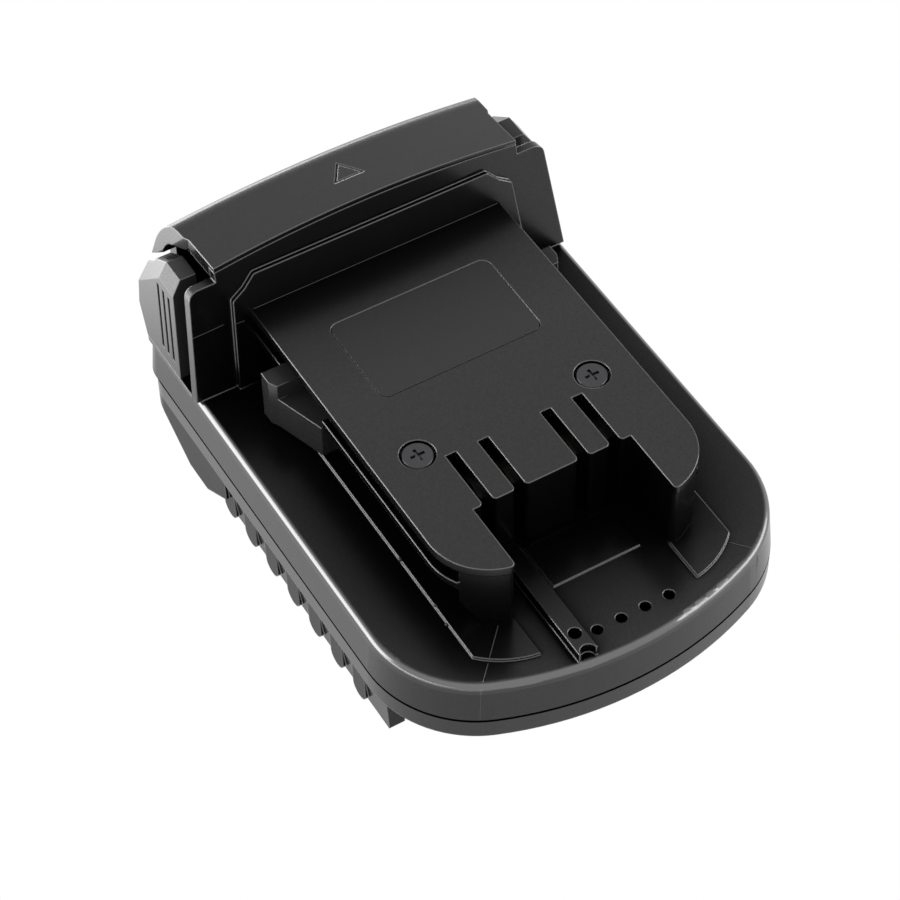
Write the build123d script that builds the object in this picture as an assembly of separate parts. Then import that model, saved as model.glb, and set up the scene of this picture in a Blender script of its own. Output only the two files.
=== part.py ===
from build123d import *
from math import atan, cos, degrees, sin, sqrt
import os

os.makedirs("parts", exist_ok=True)

# A slide-on adapter that lets a battery with one style of rail feed a tool with another.
# X is across, Y runs from the rounded nose (minus) to the latch end (plus), Z is up.
# The origin is under the middle of the body, on the surface that it stands on.

# Clearances
seam = 0.15
slip = 0.3
overrun = 1.0

# Body
body_width = 80.0
body_length = 112.0
floor_height = 23.0
parting_height = 14.1
ring_height = 4.4
nose_bow_radius = 70.0
nose_corner_radius = 22.0
rear_corner_radius = 6.0
lower_rear_corner_radius = 8.2
side_draft = 0.8
top_edge_radius = 1.3
wall = 2.2
plate = 2.2

# Tool rail on top of the body
rail_width = 52.6
rail_height = 16.0
rail_plate = 2.0
groove_height = 3.2
groove_depth = 3.0
ledge_plate = 1.5
ledge_front_setback = 5.6
neck_width = 41.6
neck_wall = 2.2
prong_length = 75.1
prong_nose_radius = 12.0
prong_tip_radius = 0.8
prong_gap = 32.0
leg_setback = 0.3
bay_depth = 14.3
slot_length = 11.7
slot_width = 2.2
inner_slot_centre = 6.4
outer_slot_centre = 12.9
tongue_corner_radius = 0.8

# Label field on the rail, left bare
label_width = 33.4
label_length = 20.3
label_setback = 10.9
label_corner_radius = 2.0
label_recess = 0.25
label_film = 0.2

# Screws of the rail
screw_spacing = 35.8
screw_setback = 29.8
screw_radius = 1.5
screw_head_radius = 3.0
screw_head_height = 0.8
screw_length = 22.0
head_recess_radius = 3.3
head_recess_depth = 0.95
boss_wall = 1.6
cross_width = 0.6
cross_length = 2.8
cross_depth = 0.8

# Floor details between and around the prongs
pad_height = 0.55
pad_front_setback = 12.7
pad_bow = 5.3
strip_width = 3.7
strip_centre = 9.5
strip_height = 2.2
strip_end_setback = 2.5
gate_radius = 1.5
key_hole_radius = 1.05
key_hole_pitch = 4.9
key_hole_setback = 6.9
key_hole_count = 4
strip_hole_radius = 1.2
step_plate_height = 0.3
step_plate_width = 17.9
step_plate_centre = 2.45
step_plate_length = 10.0

# Hump at the latch end
hump_setback = 23.5
hump_lean_share = 0.177
hump_wall = 2.0
hump_side_length = 4.0
ear_top_inset = 2.9
ear_rise = 23.8
ear_corner_radius = 2.2
panel_base_width = 62.4
panel_shoulder_width = 58.8
panel_bend_width = 53.6
panel_top_width = 49.0
panel_shoulder_rise = 19.2
panel_bend_rise = 20.9
panel_rise = 23.3
panel_corner_radius = 0.8
panel_step = 1.0
curb_height = 0.15
curb_wall = 1.9
rear_wall = 3.2

# Cap over the hump
cap_inset = 8.4
cap_flare_length = 9.0
cap_flare_width = 3.9
cap_flare_drop = 10.9
cap_rise = 26.85
cap_bow = 2.0
cap_fall_share = 0.11
cap_plate = 3.0
cap_lip = 0.8
cap_rear_radius = 6.0
cap_rear_drop = 14.8
arrow_width = 6.4
arrow_length = 5.1
arrow_setback = 8.9
arrow_line = 0.4
arrow_depth = 0.3

# Release buttons, one in each side
button_length = 13.4
button_lean_share = 0.125
button_flank_share = 0.075
button_depth = 6.6
button_rise = 22.4
button_foot_rise = 0.35
button_slope_length = 5.4
button_slope_share = 0.72
button_bevel_width = 1.7
button_bevel_drop = 3.0
button_tail_length = 3.0
button_facet_width = 3.75
button_facet_rise = 11.3
button_corner_length = 3.2
button_corner_width = 1.9
button_corner_height = 7.6
button_wall = 1.6
button_travel = 4.4
grip_slot_width = 0.9
grip_slot_depth = 0.7
grip_slot_pitch = 2.1
grip_slot_count = 3
grip_slot_setback = 2.0
grip_slot_rise = 3.0
grip_slot_length = 14.6

# Latches that hook into the tool
latch_reach = 4.2
latch_tooth_length = 4.4
latch_tooth_setback = 11.4
latch_tooth_height = 11.8
latch_tooth_chamfer = 1.8
latch_ramp_length = 10.1
latch_ramp_height = 8.4
latch_foot_rise = 0.9
latch_bar = 3.0
latch_bar_clearance = 0.6
latch_bar_rise = 2.2
latch_bar_height = 5.6
latch_cross_length = 4.0
latch_window_margin = 0.35

# Button springs
spring_radius = 2.4
spring_wire_radius = 0.3
spring_turns = 5
spring_rise = 8.4
spring_inset = 3.2
spring_length = 15.0
spring_seat_wall = 1.8

# Battery side of the body
skirt_front_setback = 20.5
skirt_front_lean = 1.5
skirt_inset = 0.7
skirt_draft = 1.1
channel_width = 70.0
rib_count = 7
rib_pitch = 8.1
rib_length = 4.4
rib_proud = 0.9
rib_centre = -0.9
heel_front_setback = 32.9
heel_foot_front_setback = 24.7
heel_foot_length = 7.0
heel_rear_rise = 6.0
heel_rear_setback = 7.5
heel_front_rise = 5.3
battery_rail_gap = 61.0
battery_rail_rise = 1.6
battery_rail_plate = 2.6
battery_rail_length = 74.0
battery_latch_width = 18.0
battery_latch_length = 4.5
battery_latch_depth = 1.4
battery_latch_setback = 8.0

# Screws that close the body from below
housing_screw_spacing = 58.0
housing_screw_length = 8.5
nose_screw_setback = 18.0
heel_screw_setback = 11.0

# Terminals for the tool
clip_wall = 0.4
clip_jaw_gap = 0.4
clip_mouth = 0.9
clip_root = 0.9
clip_length = 14.0
clip_height = 8.6
clip_tail_length = 2.6
holder_width = 29.4
holder_length = 8.0
holder_height = 10.6
holder_gap = 0.3

# Terminals for the battery
block_width = 40.0
block_length = 12.0
block_height = 7.0
block_setback = 35.0
blade_thickness = 0.8
blade_height = 4.6
blade_length = 11.0
power_blade_centre = 15.0
signal_blade_centre = 5.0
blade_tail_length = 2.4

# Circuit board, its parts and the wiring
board_width = 46.0
board_length = 34.0
board_setback = 57.0
board_thickness = 1.6
board_stand = 2.0
board_post_radius = 2.0
board_post_inset = 3.2
board_screw_radius = 0.9
board_screw_length = 3.4
board_head_radius = 1.7
board_head_height = 1.1
pad_block_length = 2.4
pad_block_width = 3.0
pad_block_height = 3.4
power_chip_width = 6.6
power_chip_length = 6.1
power_chip_height = 2.3
logic_chip_width = 5.0
logic_chip_length = 4.0
logic_chip_height = 1.4
capacitor_radius = 2.2
capacitor_height = 4.2
lead_radius = 0.9
signal_lead_radius = 0.55
lead_bend_radius = 2.2
lead_drop = 1.6

# Places worked out from the sizes above
half_width = body_width / 2
half_length = body_length / 2
ear_half = half_width - side_draft / 2
ring_bottom = parting_height - ring_height
roof_top = ring_bottom + plate
ceiling = floor_height - plate
rail_half = rail_width / 2
rail_top = floor_height + rail_height
groove_top = rail_top - rail_plate
groove_bottom = groove_top - groove_height
ledge_bottom = groove_bottom - ledge_plate
neck_half = neck_width / 2
neck_inner = neck_half - neck_wall
prong_inner = prong_gap / 2
hump_foot = half_length - hump_setback
rail_rear = hump_foot - panel_step + rail_height * hump_lean_share
rail_front = rail_rear - prong_length
tongue_front = rail_front + bay_depth
slot_rear = tongue_front + slot_length
screw_x = screw_spacing / 2
screw_y = rail_front + screw_setback
boss_radius = screw_radius + boss_wall
ledge_front = rail_front + ledge_front_setback
lean = atan(hump_lean_share)
hump_top = floor_height + panel_rise
cap_half = half_width - cap_inset
hump_half = cap_half - hump_wall - seam
cap_top = floor_height + cap_rise
cap_front = hump_foot + cap_rise * hump_lean_share
cap_rear_foot = cap_top - cap_rear_drop
button_front = hump_foot + hump_side_length + hump_wall + slip * 2
button_rear = button_front + button_length
button_tail = button_rear + button_tail_length
button_top = floor_height + button_rise
button_foot = floor_height + button_foot_rise
button_inner = ear_half - button_depth
spring_seat_half = button_inner - spring_length
latch_inner = neck_inner - latch_bar_clearance - latch_bar
latch_rear = hump_foot - latch_tooth_setback + latch_tooth_length / 2
latch_tooth_front = latch_rear - latch_tooth_length
latch_tip = rail_half + latch_reach
bar_bottom = floor_height + latch_bar_rise
bar_top = bar_bottom + latch_bar_height
bar_rear = button_front + slip + latch_cross_length
spring_y = button_rear - spring_inset
spring_z = floor_height + spring_rise
channel_half = channel_width / 2
heel_foot_front = half_length - heel_foot_front_setback
skirt_front = skirt_front_setback - half_length
board_front = half_length - board_setback
board_bottom = roof_top + board_stand
board_top = board_bottom + board_thickness
holder_front = slot_rear + holder_gap
clip_rear = holder_front + holder_length - overrun
clip_front = clip_rear - clip_length
clip_foot = floor_height + plate
tail_foot = ceiling - clip_tail_length
block_rear = half_length - block_setback
block_front = block_rear - block_length
lead_height = tail_foot + lead_drop / 2


def box_between(x0, x1, y0, y1, z0, z1):
    """A block given by its faces along each axis."""
    block = Box(x1 - x0, y1 - y0, z1 - z0, align=(Align.MIN, Align.MIN, Align.MIN))
    return Pos(x0, y0, z0) * block


def post(radius, x, y, z0, z1):
    """An upright round post or hole."""
    rod = Cylinder(radius, z1 - z0, align=(Align.CENTER, Align.CENTER, Align.MIN))
    return Pos(x, y, z0) * rod


def both_sides(shape):
    """The shape and its mirror image across the middle of the body."""
    return [shape, shape.mirror(Plane.YZ)]


def flat(points, height=0):
    """A level face through points given across and along the body."""
    return Pos(0, 0, height) * make_face(Polyline(*points, close=True).edges())


def body_outline(inset, height, rear_corner=rear_corner_radius):
    """The D-shaped plan: straight sides, round nose corners and a bowed nose."""
    rear = half_length - inset
    half = half_width - inset
    corner = nose_corner_radius - inset
    bow = nose_bow_radius - inset
    rear_round = rear_corner - inset
    bow_y = nose_bow_radius - half_length
    corner_x = half_width - nose_corner_radius
    reach = nose_bow_radius - nose_corner_radius
    corner_y = bow_y - sqrt(reach ** 2 - corner_x ** 2)
    across = corner_x / reach
    ahead = (bow_y - corner_y) / reach
    spread = sqrt((1 + across) ** 2 + ahead ** 2)
    touch = (bow * across, bow_y - bow * ahead)
    middle = (corner_x + corner * (1 + across) / spread, corner_y - corner * ahead / spread)
    turn = rear_round * (1 - sqrt(0.5))
    right = [
        ThreePointArc(touch, middle, (half, corner_y)),
        Line((half, corner_y), (half, rear - rear_round)),
        ThreePointArc((half, rear - rear_round), (half - turn, rear - turn), (half - rear_round, rear)),
    ]
    edges = [ThreePointArc((-touch[0], touch[1]), (0, bow_y - bow), touch)]
    edges += right
    edges.append(Line((half - rear_round, rear), (rear_round - half, rear)))
    edges += [edge.mirror(Plane.YZ) for edge in right]
    return Pos(0, 0, height) * make_face(Wire(edges).edges())


def body_prism(inset, bottom, top, rear_corner=rear_corner_radius):
    """The D-shaped plan raised straight up."""
    return extrude(body_outline(inset, bottom, rear_corner), amount=top - bottom)


def lean_slab(outline, out, thickness):
    """A slab on the leaning face of the hump, from out inwards, of an outline in width and rise."""
    plane = Plane(origin=(0, hump_foot - out / cos(lean), floor_height),
                  x_dir=(1, 0, 0), z_dir=(0, -cos(lean), sin(lean)))
    return extrude(plane * outline, amount=-thickness)


def rise_outline(points):
    """A symmetric face on the leaning front, from the points of its right half."""
    right = [(x, rise / cos(lean)) for x, rise in points]
    left = [(-x, rise) for x, rise in reversed(right)]
    return make_face(Polyline(*right, *left, close=True).edges())


def rail_layer(inset, bottom, top):
    """One level of the rail with its two prongs, set in from the edge of the top level."""
    half = rail_half - inset
    nose = prong_nose_radius - inset
    turn_x = rail_half - prong_nose_radius
    turn_y = rail_front + prong_nose_radius
    end_y = turn_y - sqrt(nose ** 2 - (prong_inner - turn_x) ** 2)
    bend = nose * sqrt(0.5)
    back = rail_rear + hump_wall
    right = [
        Line((half, back), (half, turn_y)),
        ThreePointArc((half, turn_y), (turn_x + bend, turn_y - bend), (prong_inner, end_y)),
        Line((prong_inner, end_y), (prong_inner, tongue_front)),
    ]
    edges = right + [edge.mirror(Plane.YZ) for edge in right]
    edges.append(Line((prong_inner, tongue_front), (-prong_inner, tongue_front)))
    edges.append(Line((half, back), (-half, back)))
    face = make_face(Wire(edges).edges())
    face = fillet(face.vertices().filter_by(lambda v: v.Y < end_y + seam), prong_tip_radius)
    return extrude(Pos(0, 0, bottom) * face, amount=top - bottom)


def neck_layer():
    """The walls under the rail, down to the floor, and the two arms under the prongs."""
    front = ledge_front - overrun
    back = rail_rear + hump_wall
    right = [(neck_half, back), (neck_half, front), (prong_inner, front), (prong_inner, tongue_front)]
    left = [(-x, y) for x, y in reversed(right)]
    return extrude(flat(right + left, floor_height), amount=ledge_bottom - floor_height)


def prong_legs():
    """The solid front of each prong: flush with the plate above and flaring out from the neck."""
    flare = [(prong_inner, floor_height), (neck_half, floor_height), (rail_half, ledge_bottom),
             (rail_half, groove_top), (prong_inner, groove_top)]
    upright = Plane(origin=(0, ledge_front, 0), x_dir=(1, 0, 0), z_dir=(0, -1, 0))
    flare = extrude(upright * make_face(Polyline(*flare, close=True).edges()), amount=ledge_front_setback)
    outline = rail_layer(leg_setback, floor_height, groove_top)
    return [side & outline for side in both_sides(flare)]


def pan_screw(radius, length, head_radius, head_height):
    """A screw with a low round head and a cross recess, standing on the underside of its head."""
    level = (Align.CENTER, Align.CENTER, Align.MIN)
    head = Cylinder(head_radius, head_height, align=level)
    head = chamfer(head.edges().sort_by(Axis.Z)[-1], head_height / 3)
    shank = Pos(0, 0, -length) * Cylinder(radius, length, align=level)
    recess = min(cross_depth, head_height / 2)
    reach = min(cross_length, head_radius + head_radius / 3)
    slots = Box(reach, cross_width, recess) + Box(cross_width, reach, recess)
    return head + shank - Pos(0, 0, head_height - recess / 2) * slots


def upper_housing():
    """The top shell: a drafted tray upside down, with the hump, its ears and the screw bosses."""
    outer = loft([body_outline(0, parting_height), body_outline(side_draft, floor_height)])
    outer = fillet(outer.edges().group_by(Axis.Z)[-1], top_edge_radius)
    shell = outer - body_prism(side_draft + wall, parting_height - overrun, ceiling)

    shell += hump_front()
    shell += hump_rear()
    shell += hump_sides()
    shell += floor_details()
    shell += spring_seats()
    shell += inner_bosses()
    shell -= floor_cuts()
    return shell


def hump_front():
    """The leaning front of the hump: wide ears, a raised panel and a middle that runs up to the cap."""
    ears = rise_outline([(ear_half, 0), (half_width - ear_top_inset, ear_rise)])
    ears = fillet(ears.vertices().group_by(Axis.Y)[-1], ear_corner_radius)
    panel = rise_outline([(panel_base_width / 2, 0), (panel_shoulder_width / 2, panel_shoulder_rise),
                          (panel_bend_width / 2, panel_bend_rise), (panel_top_width / 2, panel_rise)])
    panel = fillet(panel.vertices().group_by(Axis.Y)[1:], panel_corner_radius)
    middle = lean_slab(rise_outline([(cap_half, 0), (cap_half, cap_rise + cap_bow)]), 0, hump_wall)
    front = lean_slab(ears, 0, hump_wall) + lean_slab(panel, panel_step, hump_wall)
    front += middle & crown_prism(cap_lip + seam)
    window_left = latch_inner - button_travel - slip
    window = box_between(window_left, neck_inner - seam, rail_rear - hump_wall - overrun - hump_wall * 2,
                         hump_foot + hump_wall + rail_plate + overrun, bar_bottom - slip, bar_top + slip * 2)
    for opening in both_sides(window):
        front -= opening
    return front


def hump_rear():
    """The low rear wall of the hump, which closes it under the cap."""
    return box_between(-cap_half, cap_half, half_length - rear_wall, half_length,
                       floor_height - overrun, cap_rear_foot - seam)


def hump_sides():
    """Short walls behind the ears that stiffen the hump, and the edge that each button stands over."""
    side = box_between(hump_half, hump_half + hump_wall, hump_foot + hump_wall,
                       hump_foot + hump_side_length + hump_wall, floor_height - overrun, hump_top)
    side &= lean_slab(rise_outline([(body_width, -plate), (body_width, cap_rise)]), -hump_wall / 2,
                      body_length)
    curb = box_between(ear_half - curb_wall, ear_half, hump_foot + hump_wall, button_rear,
                       floor_height - overrun, floor_height + curb_height)
    curb &= body_prism(0, floor_height - overrun, cap_top)
    return both_sides(side) + both_sides(curb)


def floor_details():
    """Low pads beside the neck, the raised strip and the stepped middle plate."""
    inner = prong_inner
    front = pad_front_setback - half_length
    tip = front - pad_bow
    middle = ((rail_half + inner) / 2, (front + tip) / 2 - pad_bow / 5)
    edge = ThreePointArc((rail_half, front), middle, (inner, tip))
    outline = [Line((rail_half, hump_foot), (rail_half, front)), edge,
               Line((inner, tip), (inner, tongue_front)), Line((inner, tongue_front), (inner, hump_foot)),
               Line((inner, hump_foot), (rail_half, hump_foot))]
    pad = extrude(Pos(0, 0, floor_height - seam) * make_face(Wire(outline).edges()),
                  amount=pad_height + seam)
    pads = both_sides(pad)
    for standing in [neck_layer()] + prong_legs():
        pads = [shape - standing for shape in pads]
    strip_left = -strip_centre - strip_width / 2
    strip = box_between(strip_left, strip_left + strip_width, strip_end_setback - half_length,
                        tongue_front - slip, floor_height - seam, floor_height + strip_height)
    step_left = step_plate_centre - step_plate_width / 2
    step = box_between(step_left, step_left + step_plate_width, tongue_front - overrun - step_plate_length,
                       tongue_front - overrun, floor_height - seam, floor_height + step_plate_height)
    return pads + [strip, step]


def spring_seats():
    """Two ribs inside the hump that the button springs push against."""
    seat = box_between(spring_seat_half - spring_seat_wall, spring_seat_half,
                       spring_y - spring_radius - slip, spring_y + spring_radius + slip,
                       floor_height - overrun, spring_z + spring_radius + slip)
    return both_sides(seat)


def inner_bosses():
    """Bosses under the floor for the rail screws and for the screws that close the body."""
    rail_boss = post(boss_radius, screw_x, screw_y, rail_top - head_recess_depth - screw_length - seam,
                     floor_height - overrun)
    bosses = both_sides(rail_boss)
    for y in (nose_screw_setback - half_length, half_length - heel_screw_setback):
        boss = post(boss_radius, housing_screw_spacing / 2, y, roof_top, floor_height - overrun)
        bosses += both_sides(boss)
    return bosses


def floor_cuts():
    """Screw holes, the holes by the nose, and the openings for the terminal tails."""
    cuts = both_sides(post(screw_radius, screw_x, screw_y, ring_bottom, rail_top))
    top = roof_top + housing_screw_length
    for y in (nose_screw_setback - half_length, half_length - heel_screw_setback):
        cuts += both_sides(post(screw_radius, housing_screw_spacing / 2, y, ring_bottom, top))
    hole_y = key_hole_setback - half_length
    for number in range(key_hole_count):
        x = (number - 1) * key_hole_pitch
        cuts.append(post(key_hole_radius, x, hole_y, ceiling - overrun, floor_height + overrun))
    top = floor_height + strip_height + overrun
    cuts.append(post(strip_hole_radius, -strip_centre, hole_y, floor_height - plate - overrun, top))
    cuts.append(post(gate_radius, -strip_centre, strip_end_setback - half_length, floor_height, top))
    cuts += clip_tails(slip)
    return cuts


def rail_platform():
    """The T-shaped rail: a top plate over side grooves, a lower lip, a hollow neck and two prongs."""
    top = rail_layer(0, groove_top, rail_top)
    core = rail_layer(groove_depth, groove_bottom, groove_top)
    ledge = rail_layer(0, ledge_bottom, groove_bottom)
    ahead = box_between(-rail_width, rail_width, rail_front - overrun, ledge_front, ledge_bottom, groove_top)
    platform = top + (core + ledge - ahead) + neck_layer()
    for leg in prong_legs():
        platform += leg

    hollow = box_between(-neck_inner, neck_inner, slot_rear, rail_rear + hump_wall * 2,
                         floor_height - overrun, groove_top)
    for side in both_sides(post(boss_radius, screw_x, screw_y, floor_height, groove_top)):
        hollow -= side
    platform -= hollow
    for centre in (inner_slot_centre, outer_slot_centre):
        slot = box_between(centre - slot_width / 2, centre + slot_width / 2, tongue_front - overrun,
                           slot_rear + overrun, floor_height - overrun, rail_top + overrun)
        for side in both_sides(slot):
            platform -= side
    for window in both_sides(latch_window()):
        platform -= window
    everything = rise_outline([(body_width, -floor_height), (body_width, body_width)])
    platform -= lean_slab(everything, panel_step, body_length)

    recess = post(head_recess_radius, screw_x, screw_y, rail_top - head_recess_depth, rail_top + overrun)
    hole = post(screw_radius, screw_x, screw_y, floor_height - overrun, rail_top)
    for cut in both_sides(recess) + both_sides(hole):
        platform -= cut
    platform -= label_field(0, rail_top - label_recess, rail_top + overrun)
    corners = platform.edges().filter_by(Axis.Z).filter_by(lambda e: abs(e.center().Y - tongue_front) < seam
                                                           and abs(e.center().X) < prong_inner - seam)
    return fillet(corners, tongue_corner_radius)


def label_field(inset, bottom, top):
    """The rounded rectangle on the rail where a label goes."""
    y = rail_rear - label_setback - label_length / 2
    face = RectangleRounded(label_width - inset * 2, label_length - inset * 2, label_corner_radius - inset)
    return extrude(Pos(0, y, bottom) * face, amount=top - bottom)


def latch_window():
    """The opening in the side of the rail that the latch moves through."""
    margin = latch_window_margin
    front = latch_tooth_front - latch_ramp_length - margin
    return box_between(neck_inner - overrun, rail_half + overrun, front, latch_rear + margin,
                       floor_height - overrun, floor_height + latch_tooth_height + margin)


def latch_arm():
    """The right latch: a tooth with a ramp in front, on a bar that runs back to the button."""
    outer = latch_inner + latch_bar
    tooth = flat([(outer - overrun, latch_rear), (latch_tip, latch_rear),
                  (latch_tip, latch_tooth_front + latch_tooth_chamfer),
                  (latch_tip - latch_tooth_chamfer / 2, latch_tooth_front),
                  (outer - overrun, latch_tooth_front)], floor_height + latch_foot_rise)
    tooth = extrude(tooth, amount=latch_tooth_height - latch_foot_rise)
    ramp = flat([(neck_half, latch_tooth_front + overrun),
                 (latch_tip - latch_tooth_chamfer / 2, latch_tooth_front + overrun),
                 (latch_tip - latch_tooth_chamfer / 2, latch_tooth_front),
                 (rail_half, latch_tooth_front - latch_ramp_length),
                 (rail_half - latch_reach, latch_tooth_front - latch_ramp_length)],
                floor_height + latch_foot_rise)
    ramp = extrude(ramp, amount=latch_ramp_height - latch_foot_rise)
    bar = box_between(latch_inner, outer, latch_tooth_front, bar_rear, bar_bottom, bar_top)
    cross = box_between(latch_inner, button_inner, bar_rear - latch_cross_length, bar_rear,
                        bar_bottom, bar_top)
    return tooth + ramp + bar + cross


def release_button():
    """The right button: a hollow moulding with a flat top, a sloping back, a bevel and grip slots."""
    foot = ear_half
    height = button_top - button_foot
    drop = (button_slope_length + button_tail_length) * button_slope_share
    section = [(button_inner, button_foot), (foot, button_foot),
               (foot - height * button_flank_share, button_top), (button_inner, button_top)]
    profile = [(button_front, button_foot), (button_front + height * button_lean_share, button_top),
               (button_rear - button_slope_length, button_top), (button_tail, button_top - drop),
               (button_tail, button_foot)]
    upright = Plane(origin=(0, button_front, 0), x_dir=(1, 0, 0), z_dir=(0, -1, 0))
    along = Plane(origin=(0, 0, 0), x_dir=(0, 1, 0), z_dir=(1, 0, 0))
    block = extrude(upright * make_face(Polyline(*section, close=True).edges()), amount=-body_length)
    block &= extrude(along * make_face(Polyline(*profile, close=True).edges()), amount=body_width)
    flank = block.faces().sort_by(Axis.X)[-1]
    crest = flank.edges().filter_by(lambda e: e.center().Z > button_top - seam)
    button = chamfer(crest, button_bevel_drop, button_bevel_width, reference=flank)
    facet_front = foot - (height - button_bevel_drop) * button_flank_share
    facet = [(facet_front, button_rear - button_slope_length, button_top - button_bevel_drop),
             (foot - button_facet_rise * button_flank_share, button_tail, button_foot + button_facet_rise),
             (foot - button_facet_width, button_tail, button_top - drop)]
    button -= corner_cut(facet)
    corner = [(foot, button_tail - button_corner_length, button_foot),
              (foot - button_corner_width, button_tail, button_foot),
              (foot, button_tail, button_foot + button_corner_height)]
    button -= corner_cut(corner)
    tail_inner = cap_half + button_travel + slip
    button -= box_between(button_inner - overrun, tail_inner, button_rear, button_tail + overrun,
                          button_foot - overrun, button_top)
    pocket = box_between(button_inner - overrun, foot - button_wall * 2, button_front + button_wall * 2,
                         button_rear - button_wall, button_foot + button_wall,
                         button_top - drop - button_wall)
    boss_rod = Cylinder(spring_radius + slip, button_depth, align=(Align.CENTER, Align.CENTER, Align.MIN))
    boss = Pos(button_inner, spring_y, spring_z) * Rot(0, 90, 0) * boss_rod
    stub = box_between(button_inner, foot - button_wall, bar_rear - latch_cross_length, bar_rear,
                       button_foot, bar_top)
    button -= pocket - boss - stub
    for slot in grip_slots(foot, height):
        button -= slot
    return button


def corner_cut(corner):
    """The corner outside a slanting plane through three points, as a block to take away."""
    first, second, third = [Vector(*point) for point in corner]
    out = (second - first).cross(third - first)
    plane = Plane(origin=first, x_dir=second - first, z_dir=out if out.X > 0 else out * -1)
    return extrude(plane * Rectangle(body_width, body_width), amount=button_corner_length)


def grip_slots(foot, height):
    """Three upright slots in the flank that lean with the front of the button."""
    inner = foot - grip_slot_depth
    lean_in = height * button_flank_share
    section = [(inner, button_foot), (foot + overrun, button_foot), (foot + overrun - lean_in, button_top),
               (inner - lean_in, button_top)]
    upright = Plane(origin=(0, button_front, 0), x_dir=(1, 0, 0), z_dir=(0, -1, 0))
    skin = extrude(upright * make_face(Polyline(*section, close=True).edges()), amount=-button_length)
    along = Plane(origin=(button_inner, 0, 0), x_dir=(0, 1, 0), z_dir=(1, 0, 0))
    low = floor_height + grip_slot_rise
    high = low + grip_slot_length
    shift = grip_slot_length * button_lean_share
    slots = []
    for number in range(grip_slot_count):
        y = button_front + grip_slot_setback + number * grip_slot_pitch
        outline = [(y, low), (y + grip_slot_width, low), (y + grip_slot_width + shift, high),
                   (y + shift, high)]
        bar = extrude(along * make_face(Polyline(*outline, close=True).edges()), amount=button_depth * 2)
        slots.append(bar & skin)
    return slots


def button_spring():
    """A coil between the seat in the hump and the button, wound as one wire."""
    length = button_inner - spring_seat_half - spring_wire_radius * 2
    pitch = length / spring_turns
    coil_radius = spring_radius - spring_wire_radius
    path = Helix(pitch=pitch, height=length, radius=coil_radius)
    section = Plane(origin=path @ 0, z_dir=path % 0) * RegularPolygon(spring_wire_radius, 4)
    coil = sweep(section, path=path, is_frenet=True)
    return Pos(spring_seat_half + spring_wire_radius, spring_y, spring_z) * Rot(0, 90, 0) * coil


def rear_cap():
    """The crowned cap over the hump: flush with the leaning front, open at its ends, rolled at the rear."""
    cap = cap_block(0) - cap_block(cap_plate)
    cap &= box_between(-cap_half, cap_half, hump_foot, half_length, 0, cap_top * 2) + cap_flares()
    everything = rise_outline([(body_width, -floor_height), (body_width, body_width)])
    cap -= lean_slab(everything, body_length, body_length)
    cap -= lean_slab(everything, 0, hump_wall + seam) & crown_prism(cap_lip)
    arrow_y = cap_front + arrow_setback
    arrow_foot = arrow_y - arrow_length / 2
    big = flat([(-arrow_width / 2, arrow_foot), (arrow_width / 2, arrow_foot),
                (0, arrow_foot + arrow_length)], cap_top - arrow_length)
    small = offset(big, amount=-arrow_line, kind=Kind.INTERSECTION)
    groove = extrude(big - small, amount=cap_rise)
    return cap - (groove - crown_prism(arrow_depth))


def crown_prism(drop):
    """A prism along the body whose top is the crown of the cap, lowered by a drop."""
    radius = (cap_half ** 2 + cap_bow ** 2) / (2 * cap_bow)
    peak = cap_top + cap_bow - drop
    half = cap_half + cap_flare_width + overrun
    rise = peak - radius + drop + sqrt((radius - drop) ** 2 - half ** 2)
    edges = [ThreePointArc((-half, rise), (0, peak), (half, rise)), Line((half, rise), (half, 0)),
             Line((half, 0), (-half, 0)), Line((-half, 0), (-half, rise))]
    face = make_face(Wire(edges).edges())
    prism = extrude(Pos(0, body_length, 0) * Rot(90, 0, 0) * face, amount=body_length * 2)
    return prism.rotate(Axis((0, cap_front, cap_top), (1, 0, 0)), -degrees(atan(cap_fall_share)))


def cap_flares():
    """The rear corners of the cap, which spread towards their foot and stay above the sloping buttons."""
    inner = cap_half - overrun
    foot = cap_top - cap_flare_drop
    spread = cap_half + cap_flare_width
    wedge = [(inner, cap_top), (cap_half, cap_top), (spread, foot), (inner, foot)]
    upright = Plane(origin=(0, half_length, 0), x_dir=(1, 0, 0), z_dir=(0, -1, 0))
    flare = extrude(upright * make_face(Polyline(*wedge, close=True).edges()), amount=cap_flare_length)
    start = half_length - cap_flare_length
    taper = flat([(inner, start), (cap_half, start), (spread, half_length), (inner, half_length)])
    flare &= extrude(taper, amount=cap_top * 2)
    clear = button_top + slip * 2
    slope_front = button_rear - button_slope_length
    under = [(slope_front, clear), (half_length, clear - (half_length - slope_front) * button_slope_share),
             (half_length, 0), (slope_front, 0)]
    along = Plane(origin=(0, 0, 0), x_dir=(0, 1, 0), z_dir=(1, 0, 0))
    flare -= extrude(along * make_face(Polyline(*under, close=True).edges()), amount=body_width)
    return flare + flare.mirror(Plane.YZ)


def cap_block(inset):
    """The cap as a solid block, drawn in by an inset to give its own hollow."""
    rear = half_length - inset
    block = box_between(-body_width, body_width, hump_foot, rear, cap_rear_foot - inset, cap_top * 2)
    block &= crown_prism(inset)
    rear_edge = block.edges().filter_by(lambda e: e.center().Z > cap_top - cap_rear_radius
                                        and abs(e.center().Y - rear) < seam)
    return fillet(rear_edge, cap_rear_radius - inset)


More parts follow.
